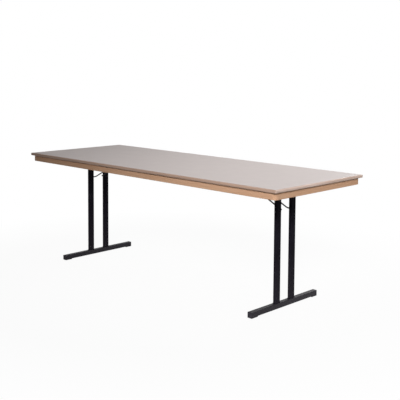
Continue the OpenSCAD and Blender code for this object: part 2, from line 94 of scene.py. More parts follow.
# Screws, each level of a head with its share of the radius and of the height
HEAD_PROFILE = ((0.55, -1.0), (0.74, -0.93), (0.90, -0.72), (0.98, -0.42), (1.0, -0.18), (0.985, 0.0))
HEAD_HEIGHT = 0.325             # height of a head against its width
SHANK_SHARE = 0.5               # width of the shank against the head
SCREW_POINTS = 20               # points round a screw
THREAD_START = 0.0012           # length of the plain neck
THREAD_END = 0.0003             # how far before the point the thread ends
RINGS_PER_TURN = 5              # rings of points to one turn of the thread
CREST_SHARE = 0.30              # half the width of a crest against the pitch
POINT_LENGTH = 2.0              # length of the tapering point in radii of the shank
POINT_LEAST = 0.05              # least share of the radius that is left on the point
RECESS_MOUTH = 1.1              # size of the cutting cross above the head
RECESS_FLOOR = 0.45             # its size at the floor of the recess
RECESS_OVERRUN = 0.0005         # how far it stands out of the head
SAME_POINT = 0.000001           # distance under which two corners are one
SCREW_SEED = 19

# Studio
FLOOR_REACH = 12.0              # half the side of the floor
FADE_START = 0.6                # share of the fade distance where the floor begins to whiten
PAPER = (0.9, 0.9, 0.9, 1.0)    # the floor that takes the shadow
WHITE = (1.0, 1.0, 1.0, 1.0)
SENSOR_WIDTH = 36.0             # in millimetres


# Sizes and colours that a user would change

def colour_setting(name, description, default):
    """A colour property."""
    return bpy.props.FloatVectorProperty(
        name=name, description=description, subtype="COLOR", size=3, min=0.0, max=1.0, default=default
    )


def length_setting(name, description, default):
    """A length property in metres."""
    return bpy.props.FloatProperty(
        name=name, description=description, subtype="DISTANCE", unit="LENGTH", min=0.0, precision=5,
        default=default,
    )


def place_setting(name, description, default):
    """A point property in metres."""
    return bpy.props.FloatVectorProperty(
        name=name, description=description, subtype="TRANSLATION", unit="LENGTH", size=3, default=default
    )


def angle_setting(name, description, degrees):
    """An angle property, whose default is given in degrees."""
    return bpy.props.FloatProperty(
        name=name, description=description, subtype="ANGLE", default=math.radians(degrees)
    )


def share_setting(name, description, default):
    """A property from 0 to 1."""
    return bpy.props.FloatProperty(
        name=name, description=description, subtype="FACTOR", min=0.0, max=1.0, default=default
    )


def power_setting(name, description, default):
    """A property for a lamp's power in watts."""
    return bpy.props.FloatProperty(
        name=name, description=description, subtype="POWER", unit="POWER", min=0.0, default=default
    )


class TableFinishes(bpy.types.PropertyGroup):
    """Colours of the finishes."""

    laminate: colour_setting("Laminate", "Pale warm grey of the top face", (0.685, 0.617, 0.597))
    backing: colour_setting("Backing laminate", "Plain laminate under the top", (0.520, 0.490, 0.460))
    joint_line: colour_setting("Laminate edge", "Dark hairline round the laminate", (0.200, 0.150, 0.120))
    edging: colour_setting("Edging", "Rose-beige wood of the long edging", (0.500, 0.345, 0.266))
    # Painted light: the end edging is the same wood made paler, standing in for the ends catching more
    # light
    edging_end_painted_light: colour_setting("End edging", "Paler wood of the end edging", (0.740, 0.590, 0.520))
    edging_dark: colour_setting("Edging streaks", "Darker streaks of the edging", (0.400, 0.268, 0.205))
    beech: colour_setting("Beech", "Light part of the beech grain", (0.648, 0.404, 0.264))
    beech_dark: colour_setting("Beech streaks", "Dark part of the beech grain", (0.540, 0.314, 0.192))
    fleck: colour_setting("Beech flecks", "Small flecks in the beech", (0.350, 0.170, 0.085))
    chips: colour_setting("Core chips", "Chips of the core board", (0.560, 0.420, 0.270))
    paint: colour_setting("Black paint", "Powder coat of the steel", (0.0100, 0.0085, 0.0130))
    # Painted light: the paint made paler towards the floor, standing in for light thrown up from the floor
    painted_floor_light: colour_setting("Dust", "Paint near the floor, paler with dust", (0.0230, 0.0205, 0.0265))
    moulding: colour_setting("Black plastic", "Foot caps", (0.0420, 0.0385, 0.0470))
    steel: colour_setting("Bright steel", "Hinge rods and their caps", (0.560, 0.560, 0.570))
    zinc: colour_setting("Zinc", "Catch rails and screws", (0.600, 0.610, 0.620))
    nylon: colour_setting("Nylon", "Washers of the hinges", (0.780, 0.770, 0.720))


class WeldSizes(bpy.types.PropertyGroup):
    """Sizes of the weld beads."""

    leg: length_setting("Leg", "Height and width of a bead at its corner", 0.0028)
    ripple: length_setting("Ripple", "Distance between the ripples of a bead", 0.0016)
    ripple_depth: share_setting("Ripple depth", "How much a ripple swells the bead", 0.16)
    stitch: length_setting("Stitch", "Length of a stitch along the stop bar", 0.024)


class ScrewSizes(bpy.types.PropertyGroup):
    """Sizes of the wood screws."""

    pitch: length_setting("Pitch", "Distance between the turns of the thread", 0.0018)
    thread_depth: length_setting("Thread depth", "How far the core lies inside the thread", 0.0006)
    recess_width: length_setting("Recess width", "Across the cross recess", 0.0046)
    recess_depth: length_setting("Recess depth", "Depth of the cross recess", 0.0018)
    wing: length_setting("Wing", "Width of one wing of the recess", 0.0009)


class StageSettings(bpy.types.PropertyGroup):
    """Camera, lamps and floor."""

    camera_place: place_setting("Camera place", "Where the camera stands", (3.4386, -3.3303, 1.3653))
    camera_turn: angle_setting("Turn", "Camera's turn from looking along +Y", 44.429)
    camera_pitch: angle_setting("Pitch", "Camera's tilt below level", 4.199)
    camera_roll: angle_setting("Roll", "Camera's roll", 0.370)
    lens: bpy.props.FloatProperty(
        name="Lens", description="Focal length in millimetres", subtype="DISTANCE_CAMERA", unit="CAMERA",
        min=1.0, max=200.0, default=67.70,
    )
    shift: bpy.props.FloatProperty(
        name="Shift", description="Upright shift of the lens", min=-1.0, max=1.0, default=-0.2
    )
    world_level: share_setting("World light", "Light that comes from all round", 0.030)
    key_power: power_setting("Key lamp", "Power of the lamp by the near end", 24.5)
    key_size: length_setting("Key size", "Side of that lamp", 2.2)
    key_place: place_setting("Key place", "Where that lamp hangs", (4.80, -5.00, 4.00))
    key_aim: place_setting("Key aim", "What that lamp points at", (0.75, 0.30, 0.70))
    key_beam: angle_setting("Key beam", "Opening of that lamp's beam", 29.0)
    overhead_power: power_setting("Overhead lamp", "Power of the wide lamp overhead", 13.0)
    overhead_size: length_setting("Overhead size", "Side of that lamp", 2.2)
    overhead_place: place_setting("Overhead place", "Where that lamp hangs", (0.4, 0.4, 3.2))
    back_power: power_setting("Back lamp", "Power of the wide lamp behind the table", 100.0)
    back_size: length_setting("Back lamp size", "Side of that lamp", 2.4)
    back_place: place_setting("Back lamp place", "Where that lamp hangs", (-0.4, 4.8, 2.2))
    back_aim: place_setting("Back lamp aim", "What that lamp points at", (0.0, 0.0, 0.5))
    floor_bounce: share_setting("Floor bounce", "Grey of the floor for the light it throws back", 0.80)
    floor_fade: length_setting("Floor fade", "How far out the floor turns plain white", 2.2)
    shadow: share_setting("Shadow", "Depth of the table's shadow on the floor", 0.05)


# Making a finish

def new_finish(name, base, roughness, metallic=0.0, specular=0.5):
    """A material and its tree, with one shader whose plain values are set on the shader itself."""
    material = bpy.data.materials.new(name)
    material.use_nodes = True
    tree = material.node_tree
    shader = tree.nodes[SHADER]
    shader.inputs["Base Color"].default_value = (*base, 1.0)
    shader.inputs["Roughness"].default_value = roughness
    shader.inputs["Metallic"].default_value = metallic
    shader.inputs["Specular IOR Level"].default_value = specular
    return material, tree


def put(tree, kind, values=None, **settings):
    """Adds a node, sets its settings, and fills or links the named sockets."""
    node = tree.nodes.new(kind)
    for key, value in settings.items():
        setattr(node, key, value)
    for key, value in (values or {}).items():
        if isinstance(value, bpy.types.NodeSocket):
            tree.links.new(value, node.inputs[key])
        else:
            node.inputs[key].default_value = value
    return node


def place_of(tree, stretch=(1.0, 1.0, 1.0), offset=(0.0, 0.0, 0.0)):
    """The point on the piece in metres, stretched and then moved."""
    where = put(tree, "ShaderNodeTexCoord").outputs["Object"]
    values = {"Vector": where, "Scale": stretch, "Location": offset}
    return put(tree, "ShaderNodeMapping", values).outputs["Vector"]


def coordinate_of(tree, axis):
    """One coordinate of the point on the piece, in metres."""
    return put(tree, "ShaderNodeSeparateXYZ", {"Vector": place_of(tree)}).outputs[axis]


def noise(tree, per_metre, detail, stretch=(1.0, 1.0, 1.0)):
    """A noise with that many cells to the metre."""
    values = {"Vector": place_of(tree, stretch), "Scale": per_metre, "Detail": detail}
    return put(tree, "ShaderNodeTexNoise", values).outputs["Fac"]


def cells(tree, per_metre, stretch=(1.0, 1.0, 1.0)):
    """Closed cells: a shade of its own for each, and the distance from its middle."""
    values = {"Vector": place_of(tree, stretch), "Scale": per_metre}
    pattern = put(tree, "ShaderNodeTexVoronoi", values)
    shade = put(tree, "ShaderNodeSeparateColor", {"Color": pattern.outputs["Color"]}).outputs[0]
    return shade, pattern.outputs["Distance"]


def math_of(tree, operation, first, second=0.0):
    """One step of arithmetic on two numbers or sockets."""
    return put(tree, "ShaderNodeMath", {0: first, 1: second}, operation=operation).outputs[0]


def spread(tree, value, low, high, to_low=0.0, to_high=1.0):
    """Moves value from one range into another, held at its ends."""
    values = {"Value": value, "From Min": low, "From Max": high, "To Min": to_low, "To Max": to_high}
    return put(tree, "ShaderNodeMapRange", values).outputs["Result"]


def varied(tree, pattern, least, most):
    """The middle of a noise, drawn out to run from least to most."""
    return spread(tree, pattern, low=0.3, high=0.7, to_low=least, to_high=most)


def mottle(tree, per_metre, detail):
    """Clouds with clearer edges, from 0 to 1."""
    return spread(tree, noise(tree, per_metre, detail), low=0.35, high=0.65)


def scaled(colour, by):
    """The colour, lighter or darker by a factor."""
    return tuple(min(1.0, part * by) for part in colour)


def blend_of(tree, factor, first, second):
    """Mixes two colours, each a colour or a socket."""
    node = put(tree, "ShaderNodeMix", data_type="RGBA")
    sockets = (node.inputs["Factor"], *[s for s in node.inputs if s.type == "RGBA"])
    for socket, value in zip(sockets, (factor, first, second)):
        if isinstance(value, bpy.types.NodeSocket):
            tree.links.new(value, socket)
        elif socket.type == "RGBA":
            socket.default_value = (*value, 1.0)
        else:
            socket.default_value = value
    return next(s for s in node.outputs if s.type == "RGBA")


def clouded(tree, base, darkest, lightest, per_metre, detail):
    """A colour in clouds that run from a darker to a lighter shade of it."""
    return blend_of(tree, mottle(tree, per_metre, detail), scaled(base, darkest), scaled(base, lightest))


def complete(material, colour, relief, depth, roughness=None):
    """Links the patterns to the shader, with the real depth of the relief in metres."""
    tree = material.node_tree
    shader = tree.nodes[SHADER]
    bump = put(tree, "ShaderNodeBump", {"Height": relief, "Distance": depth, "Strength": 1.0})
    tree.links.new(bump.outputs["Normal"], shader.inputs["Normal"])
    tree.links.new(colour, shader.inputs["Base Color"])
    if roughness is not None:
        tree.links.new(roughness, shader.inputs["Roughness"])
    return material


def coat_nodes(names, material):
    """Gives the named nodes of the frame this material."""
    for name in names:
        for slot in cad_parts[name].material_slots:
            slot.material = material


def on_each_side(*names):
    """The left and right nodes of the given plain names."""
    return [f"{side}_{name}" for side in SIDES for name in names]


# Finishes

def laminate_finish(name, base, line, sheet):
    """Satin pressed laminate: faint clouding, fine speckle, and a dark hairline round the sheet."""
    material, tree = new_finish(name, base, roughness=0.56, specular=0.10)
    clouds = clouded(tree, base, darkest=0.975, lightest=1.02, per_metre=14.0, detail=4.0)
    speckle = clouded(tree, base, darkest=0.985, lightest=1.015, per_metre=1500.0, detail=2.0)
    face = blend_of(tree, SPECKLE_SHARE, clouds, speckle)
    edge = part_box(sheet)[1]
    across, along = (
        math_of(tree, "SUBTRACT", math_of(tree, "ABSOLUTE", coordinate_of(tree, axis)), reach - HAIRLINE)
        for axis, reach in (("X", edge.x), ("Y", edge.y))
    )
    rim = math_of(tree, "GREATER_THAN", math_of(tree, "MAXIMUM", across, along), 0.0)
    strokes = noise(tree, per_metre=5.0, detail=5.0, stretch=(1.0, 2.5, 1.0))
    wiped = varied(tree, strokes, least=0.54, most=0.59)
    pebble = noise(tree, per_metre=2600.0, detail=2.0)
    return complete(material, blend_of(tree, rim, face, line), pebble, depth=0.000018, roughness=wiped)


def wood_finish(name, light, dark, fleck, along_x, start, flecks=0.6, shine=0.04, gloss=0.40):
    """Lacquered wood, cut from its own start in a grain that runs along the piece."""
    material, tree = new_finish(name, light, roughness=gloss, specular=shine)
    offset = tuple(start * skew for skew in START_SKEW)

    def grain(lengthwise, crosswise, detail, roughness=0.5):
        stretch = (lengthwise, crosswise, crosswise) if along_x else (crosswise, lengthwise, crosswise)
        values = {"Vector": place_of(tree, stretch, offset), "Scale": 1.0, "Detail": detail}
        values.update({"Roughness": roughness, "Distortion": 0.4})
        return put(tree, "ShaderNodeTexNoise", values).outputs["Fac"]

    bands = spread(tree, grain(lengthwise=2.4, crosswise=60.0, detail=3.0), low=0.32, high=0.68)
    streaks = grain(lengthwise=7.0, crosswise=420.0, detail=4.0, roughness=0.6)
    lines = varied(tree, streaks, least=0.0, most=1.0)
    broad = math_of(tree, "MULTIPLY", bands, BROAD_SHARE)
    fine = math_of(tree, "MULTIPLY", lines, 1.0 - BROAD_SHARE)
    body = blend_of(tree, math_of(tree, "ADD", broad, fine), dark, light)
    pores = grain(lengthwise=330.0, crosswise=1900.0, detail=1.0)
    colour = blend_of(tree, spread(tree, pores, low=0.63, high=0.70, to_high=flecks), body, fleck)
    dull, bright = gloss + LACQUER_SWING, gloss - LACQUER_SWING
    lacquer = spread(tree, lines, low=0.0, high=1.0, to_low=dull, to_high=bright)
    ridges = grain(lengthwise=30.0, crosswise=1500.0, detail=3.0)
    return complete(material, colour, ridges, depth=0.00003, roughness=lacquer)


def board_finish(name, base):
    """Chips of a core board."""
    material, tree = new_finish(name, base, roughness=0.8, specular=0.2)
    shade, edges = cells(tree, per_metre=320.0, stretch=(1.0, 1.0, 2.5))
    return complete(material, blend_of(tree, shade, scaled(base, by=0.62), base), edges, depth=0.0002)


def paint_finish(name, base, painted_floor_light=None, peel=900.0, scuffs=0.0, shine=0.012):
    """Black powder coat: fine orange peel, painted light that makes it paler towards the floor, and pale
    scuffs where feet rub it.
    """
    material, tree = new_finish(name, base, roughness=0.46, specular=shine)
    colour = clouded(tree, base, darkest=0.85, lightest=1.25, per_metre=22.0, detail=3.0)
    if painted_floor_light is not None:
        # Painted light: the paint turns paler towards the floor, as if lit from below
        floor_light_share = spread(tree, coordinate_of(tree, "Z"), low=FLOOR_LIGHT_HEIGHT, high=0.0)
        colour = blend_of(tree, floor_light_share, colour, painted_floor_light)
    if scuffs > 0.0:
        streaks = noise(tree, per_metre=1.0, detail=4.0, stretch=(700.0, 60.0, 260.0))
        rubbed = spread(tree, streaks, low=0.62, high=0.75, to_high=scuffs)
        colour = blend_of(tree, rubbed, colour, scaled(base, by=5.0))
    satin = varied(tree, noise(tree, per_metre=90.0, detail=4.0), least=0.40, most=0.53)
    skin = noise(tree, per_metre=peel, detail=2.0)
    return complete(material, colour, skin, depth=0.00006, roughness=satin)


def moulding_finish(name, base):
    """Moulded black plastic with a fine spark-eroded texture."""
    material, tree = new_finish(name, base, roughness=0.58, specular=0.06)
    colour = clouded(tree, base, darkest=0.9, lightest=1.2, per_metre=40.0, detail=3.0)
    dull = varied(tree, noise(tree, per_metre=150.0, detail=2.0), least=0.52, most=0.64)
    pits = noise(tree, per_metre=2800.0, detail=1.0)
    return complete(material, colour, pits, depth=0.00004, roughness=dull)


def bright_finish(name, base, stretch, smooth=0.24):
    """Bright steel with fine marks of the tool that turned or rolled it."""
    material, tree = new_finish(name, base, roughness=smooth, metallic=1.0)
    marks = noise(tree, per_metre=1.0, detail=3.0, stretch=stretch)
    colour = blend_of(tree, varied(tree, marks, least=0.0, most=1.0), scaled(base, by=0.86), base)
    least, most = (smooth + swing for swing in BRUSH_SWING)
    brushed = varied(tree, marks, least, most)
    return complete(material, colour, marks, depth=0.000008, roughness=brushed)


def zinc_finish(name, base):
    """Zinc on steel sheet: small crystals under a dull bloom."""
    material, tree = new_finish(name, base, roughness=0.36, metallic=1.0)
    shade, _ = cells(tree, per_metre=420.0)
    crystals = blend_of(tree, shade, scaled(base, by=0.84), base)
    bloom = math_of(tree, "MULTIPLY", mottle(tree, per_metre=35.0, detail=4.0), BLOOM_SHARE)
    colour = blend_of(tree, bloom, crystals, scaled(base, by=0.72))
    dull = spread(tree, shade, low=0.0, high=1.0, to_low=0.28, to_high=0.46)
    grit = noise(tree, per_metre=1200.0, detail=2.0)
    return complete(material, colour, grit, depth=0.00001, roughness=dull)


def nylon_finish(name, base):
    """Natural nylon, a little cloudy."""
    material, tree = new_finish(name, base, roughness=0.48, specular=0.4)
    shader = tree.nodes[SHADER]
    shader.inputs["Subsurface Weight"].default_value = 0.1
    shader.inputs["Subsurface Radius"].default_value = (0.001, 0.001, 0.001)
    colour = clouded(tree, base, darkest=0.94, lightest=1.0, per_metre=160.0, detail=2.0)
    return complete(material, colour, noise(tree, per_metre=1800.0, detail=1.0), depth=0.00001)


# Meshes of the small work, each a shape of vertices and faces

def mesh_of(name, vertices, faces):
    """A mesh whose faces all look outward."""
    mesh = bpy.data.meshes.new(name)
    mesh.from_pydata([tuple(v) for v in vertices], [], faces)
    work = bmesh.new()
    work.from_mesh(mesh)
    bmesh.ops.recalc_face_normals(work, faces=work.faces)
    work.to_mesh(mesh)
    work.free()
    return mesh


def joined(shapes):
    """Several shapes as one."""
    vertices, faces = [], []
    for more, own in shapes:
        faces += [tuple(k + len(vertices) for k in face) for face in own]
        vertices += more
    return vertices, faces


def new_piece(name, shape, material, body):
    """A smooth piece in the frame's metres that rides on a body."""
    mesh = mesh_of(name, *shape)
    mesh.materials.append(material)
    mesh.shade_smooth()
    piece = bpy.data.objects.new(name, mesh)
    bpy.context.scene.collection.objects.link(piece)
    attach(piece, body)
    return piece


def bead_shape(stops, closed, sizes, chance):
    """A fillet bead swept along stops, each a corner point with the two directions of its legs."""
    vertices = []
    travel = 0.0
    last = stops[0][0]
    for corner, out, up in stops:
        travel += (corner - last).length
        last = corner
        phase = (travel / sizes.ripple) % 1.0
        swell = 1.0 + sizes.ripple_depth * (1.0 - phase) ** 2 + chance.uniform(-BEAD_WOBBLE, BEAD_WOBBLE)
        reach = sizes.leg * swell
        for i in range(BEAD_POINTS):
            share = i / (BEAD_POINTS - 1)
            bulge = BEAD_CROWN * math.sin(math.pi * share)
            vertices.append(corner + out * reach * (1.0 - share + bulge) + up * reach * (share + bulge))
        vertices.append(corner - (out + up) * BEAD_ROOT)
    count, width = len(stops), BEAD_POINTS + 1
    faces = []
    for i in range(count if closed else count - 1):
        j = (i + 1) % count
        for k in range(width):
            m = (k + 1) % width
            faces.append((i * width + k, i * width + m, j * width + m, j * width + k))
    if not closed:
        faces.append(tuple(range(width)))
        faces.append(tuple((count - 1) * width + k for k in range(width)))
    return vertices, faces


def stop_gap(sizes):
    """Distance between the stops of a bead."""
    return sizes.ripple / STOPS_PER_RIPPLE


def tapered(stops):
    """Draws the ends of an open bead in, so that it starts and stops like a real one."""
    count = len(stops)
    drawn = []
    for i, (corner, out, up) in enumerate(stops):
        near = min(i, count - 1 - i) / max(1.0, TAPER_SHARE * count)
        scale = math.sin(min(1.0, near + TAPER_START) * math.pi / 2)
        drawn.append((corner, out * scale, up * scale))
    return drawn


def level_direction(degrees):
    """The level direction that many degrees round from +X."""
    angle = math.radians(degrees)
    return Vector((math.cos(angle), math.sin(angle), 0.0))


def round_rectangle(half_x, half_y, radius, step):
    """Points and outward directions round a rectangle with rounded corners."""
    signs = ((1, 1), (-1, 1), (-1, -1), (1, -1))
    centres = [Vector((sx * (half_x - radius), sy * (half_y - radius), 0.0)) for sx, sy in signs]
    turns = max(4, round(radius * math.pi / 2 / step))
    spots = []
    for index, centre in enumerate(centres):
        start = 90 * index
        for i in range(turns):
            out = level_direction(start + 90.0 * i / turns)
            spots.append((centre + out * radius, out))
        out = level_direction(start + 90)
        begin = centre + out * radius
        end = centres[(index + 1) % 4] + out * radius
        steps = max(1, round((end - begin).length / step))
        spots += [(begin.lerp(end, i / steps), out) for i in range(steps)]
    return spots


def column_bead(side, place, sizes, chance):
    """A bead all round the foot of a column."""
    low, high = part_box(f"{side}_{place}_column")
    middle = (low + high) / 2.0
    half = (high - low) / 2.0
    foot = Vector((middle.x, middle.y, low.z))
    up = Vector((0.0, 0.0, 1.0))
    spots = round_rectangle(half.x, half.y, COLUMN_CORNER, stop_gap(sizes))
    return bead_shape([(foot + spot, out, up) for spot, out in spots], True, sizes, chance)


def cross_tube_bead(side, place, sizes, chance):
    """Two arcs, over and under the cross tube, against the column."""
    low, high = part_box(f"{side}_cross_tube")
    middle = (low + high) / 2.0
    radius = (high.z - low.z) / 2.0
    end, way = (low.y, 1.0) if place == "front" else (high.y, -1.0)
    centre = Vector((middle.x, end, middle.z))
    inward = Vector((0.0, way, 0.0))
    count = max(8, round(2.0 * ARC_REACH * radius / stop_gap(sizes)))
    arcs = []
    for over in (1.0, -1.0):
        stops = []
        for i in range(count + 1):
            angle = ARC_REACH * (2.0 * i / count - 1.0)
            out = Vector((math.sin(angle), 0.0, over * math.cos(angle)))
            stops.append((centre + out * radius, out * ARC_SIZE, inward * ARC_SIZE))
        arcs.append(bead_shape(tapered(stops), False, sizes, chance))
    return joined(arcs)


def stop_bar_bead(side, sizes, chance):
    """Stitches along the inner foot of the stop bar."""
    low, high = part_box(f"{side}_stop_bar")
    inner, way = (high.x, 1.0) if side == "left" else (low.x, -1.0)
    away, down = Vector((way, 0.0, 0.0)), Vector((0.0, 0.0, -1.0))
    count = round(sizes.stitch / stop_gap(sizes))
    stitches = []
    for share in STITCHES:
        centre = low.y + (high.y - low.y) * share
        along = [centre + sizes.stitch * (i / count - 0.5) for i in range(count + 1)]
        stops = [(Vector((inner, y, high.z)), away, down) for y in along]
        stitches.append(bead_shape(tapered(stops), False, sizes, chance))
    return joined(stitches)


def screw_shape(full_length, head_width, sizes):
    """One pan-head wood screw pointing up, its head under z = 0, thread and cross recess cut."""
    head_radius = head_width / 2.0
    head_height = HEAD_HEIGHT * head_width
    shank_radius = SHANK_SHARE * head_radius
    shank_length = full_length - head_height
    core = shank_radius - sizes.thread_depth
    angles = [2.0 * math.pi * i / SCREW_POINTS for i in range(SCREW_POINTS)]
    vertices, rings, faces = [], [], []

    def add_ring(z, radii):
        rings.append(len(vertices))
        for angle, radius in zip(angles, radii):
            vertices.append(Vector((radius * math.cos(angle), radius * math.sin(angle), z)))

    def thread_radius(z, angle):
        turn = (z / sizes.pitch - angle / (2.0 * math.pi)) % 1.0
        crest = max(0.0, 1.0 - abs(turn - 0.5) / CREST_SHARE)
        narrow = min(1.0, (shank_length - z) / (POINT_LENGTH * shank_radius))
        return (core + sizes.thread_depth * crest) * max(POINT_LEAST, narrow)

    for share, height in HEAD_PROFILE:
        add_ring(height * head_height, [share * head_radius] * SCREW_POINTS)
    add_ring(0.0, [shank_radius] * SCREW_POINTS)
    z = THREAD_START
    while z < shank_length - THREAD_END:
        add_ring(z, [thread_radius(z, angle) for angle in angles])
        z += sizes.pitch / RINGS_PER_TURN
    following = [(i, (i + 1) % SCREW_POINTS) for i in range(SCREW_POINTS)]
    for a, b in zip(rings, rings[1:]):
        faces += [(a + i, a + j, b + j, b + i) for i, j in following]
    point = len(vertices)
    vertices.append(Vector((0.0, 0.0, shank_length)))
    faces += [(rings[-1] + i, rings[-1] + j, point) for i, j in following]
    faces.append(tuple(reversed(range(SCREW_POINTS))))
    return cut_shape(mesh_of("screw", vertices, faces), recess_cutter(head_height, sizes))


def recess_cutter(head_height, sizes):
    """The tapering cross that is pressed into a screw head."""
    half, wing = sizes.recess_width / 2.0, sizes.wing / 2.0
    outline = []
    for quarter in range(4):
        turn = Matrix.Rotation(math.radians(90 * quarter), 3, "Z")
        outline += [turn @ Vector((x, y, 0.0)) for x, y in ((half, -wing), (half, wing), (wing, wing))]
    levels = (
        (RECESS_MOUTH, -head_height - RECESS_OVERRUN),
        (RECESS_FLOOR, -head_height + sizes.recess_depth),
    )
    vertices = [Vector((p.x * size, p.y * size, z)) for size, z in levels for p in outline]
    count = len(outline)
    faces = [(i, (i + 1) % count, count + (i + 1) % count, count + i) for i in range(count)]
    faces += [tuple(reversed(range(count))), tuple(range(count, 2 * count))]
    return mesh_of("cross", vertices, faces)


def cut_shape(mesh, cutter):
    """The shape of the mesh less the cutter."""
    body = bpy.data.objects.new("screw_body", mesh)
    tool = bpy.data.objects.new("screw_tool", cutter)
    for one in (body, tool):
        bpy.context.scene.collection.objects.link(one)
    change = body.modifiers.new("recess", "BOOLEAN")
    change.operation = "DIFFERENCE"
    change.solver = "EXACT"
    change.object = tool
    bpy.context.view_layer.update()
    made = body.evaluated_get(bpy.context.evaluated_depsgraph_get()).to_mesh()
    vertices = [v.co.copy() for v in made.vertices]
    faces = [tuple(p.vertices) for p in made.polygons]
    for one in (body, tool):
        bpy.data.objects.remove(one)
    return vertices, faces


def islands(node):
    """Lowest and highest corner of each separate solid of a node."""
    work = bmesh.new()
    work.from_mesh(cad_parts[node].data)
    bmesh.ops.remove_doubles(work, verts=work.verts, dist=SAME_POINT)
    found = []
    seen = set()
    for start in work.verts:
        if start in seen:
            continue
        seen.add(start)
        reached = [start]
        for vertex in reached:
            for edge in vertex.link_edges:
                other = edge.other_vert(vertex)
                if other not in seen:
                    seen.add(other)
                    reached.append(other)
        low = Vector([min(v.co[i] for v in reached) for i in range(3)])
        high = Vector([max(v.co[i] for v in reached) for i in range(3)])
        found.append((low, high))
    work.free()
    return found


def screw_set(node, sizes, chance):
    """All screws of one node, each turned by its own angle."""
    places = islands(node)
    low, high = places[0]
    head_width = high.x - low.x
    one, own = screw_shape(high.z - low.z, head_width, sizes)
    screws = []
    for low, high in places:
        turn = Matrix.Rotation(chance.uniform(0.0, math.pi), 3, "Z")
        foot = Vector(((low.x + high.x) / 2.0, (low.y + high.y) / 2.0, low.z + HEAD_HEIGHT * head_width))
        screws.append(([turn @ v + foot for v in one], own))
    return joined(screws)


# Studio

def seen_directly(tree):
    """1 for what the camera sees, also in metal and through glass, and 0 for other light."""
    path = put(tree, "ShaderNodeLightPath")
    shown = math_of(tree, "MAXIMUM", path.outputs["Is Camera Ray"], path.outputs["Is Glossy Ray"])
    return math_of(tree, "MAXIMUM", shown, path.outputs["Is Transmission Ray"])


def set_world(scene, stage):
    """A white background that lights the table at its own level."""
    world = bpy.data.worlds.new("Studio")
    scene.world = world
    world.use_nodes = True
    tree = world.node_tree
    tree.nodes.clear()
    strength = spread(tree, seen_directly(tree), low=0.0, high=1.0, to_low=stage.world_level)
    background = put(tree, "ShaderNodeBackground", {"Color": WHITE, "Strength": strength})
    put(tree, "ShaderNodeOutputWorld", {"Surface": background.outputs[0]})


def floor_finish(stage):
    """White where it is seen and far out, with a faint shadow near the table, and grey to other light."""
    material = bpy.data.materials.new("Pale floor")
    material.use_nodes = True
    tree = material.node_tree
    tree.nodes.clear()

    def mixed(factor, first, second):
        return put(tree, "ShaderNodeMixShader", {0: factor, 1: first, 2: second}).outputs[0]

    grey = stage.floor_bounce
    bounce = put(tree, "ShaderNodeBsdfDiffuse", {"Color": (grey, grey, grey, 1.0)}).outputs[0]
    paper = put(tree, "ShaderNodeBsdfDiffuse", {"Color": PAPER}).outputs[0]
    white = put(tree, "ShaderNodeEmission", {"Color": WHITE, "Strength": 1.0}).outputs[0]
    clear = put(tree, "ShaderNodeBsdfTransparent").outputs[0]
    under = put(tree, "ShaderNodeNewGeometry").outputs["Backfacing"]
    radius = put(tree, "ShaderNodeVectorMath", {0: place_of(tree)}, operation="LENGTH").outputs["Value"]
    fade = stage.floor_fade
    plain = spread(tree, radius, low=FADE_START * fade, high=fade, to_low=1.0 - stage.shadow)
    shown = mixed(seen_directly(tree), bounce, mixed(plain, paper, white))
    put(tree, "ShaderNodeOutputMaterial", {"Surface": mixed(under, shown, clear)})
    return material


def lay_floor(scene, stage):
    """A square floor under the table."""
    mesh = bpy.data.meshes.new("floor")
    rim = [(x * FLOOR_REACH, y * FLOOR_REACH, 0.0) for x, y in ((-1, -1), (1, -1), (1, 1), (-1, 1))]
    mesh.from_pydata(rim, [], [(0, 1, 2, 3)])
    mesh.materials.append(floor_finish(stage))
    floor = bpy.data.objects.new("floor", mesh)
    scene.collection.objects.link(floor)


def hang_lamp(scene, name, power, size, place, target):
    """A square soft lamp that points at its target."""
    lamp = bpy.data.lights.new(name, "AREA")
    lamp.shape = "SQUARE"
    lamp.size = size
    lamp.energy = power
    holder = bpy.data.objects.new(name, lamp)
    scene.collection.objects.link(holder)
    holder.location = place
    holder.rotation_mode = "QUATERNION"
    holder.rotation_quaternion = (Vector(target) - Vector(place)).to_track_quat("-Z", "Y")
    return lamp


def set_camera(scene, stage):
    """The photograph's view, its lens shifted so that the uprights stay nearly upright."""
    data = bpy.data.cameras.new("camera")
    data.sensor_width = SENSOR_WIDTH
    data.lens = stage.lens
    data.shift_y = stage.shift
    camera = bpy.data.objects.new("camera", data)
    scene.collection.objects.link(camera)
    turn = Matrix.Rotation(stage.camera_turn, 4, "Z")
    tilt = Matrix.Rotation(math.radians(90.0) - stage.camera_pitch, 4, "X")
    roll = Matrix.Rotation(stage.camera_roll, 4, "Z")
    camera.matrix_world = Matrix.Translation(stage.camera_place) @ turn @ tilt @ roll
    scene.camera = camera


# Operators

class TABLE_OT_stage(bpy.types.Operator):
    """Set the background, lay the floor, hang the lamps and place the camera."""

    bl_idname = "banquet_table.stage"
    bl_label = "Studio"

    def execute(self, context):
        scene = context.scene
        stage = scene.stage_settings
        scene.view_settings.view_transform = "Standard"
        set_world(scene, stage)
        lay_floor(scene, stage)
        key = hang_lamp(scene, "key", stage.key_power, stage.key_size, stage.key_place, stage.key_aim)
        key.spread = stage.key_beam
        over = stage.overhead_place
        under = (over[0], over[1], 0.0)
        hang_lamp(scene, "overhead", stage.overhead_power, stage.overhead_size, over, under)
        hang_lamp(scene, "back", stage.back_power, stage.back_size, stage.back_place, stage.back_aim)
        set_camera(scene, stage)
        return {"FINISHED"}


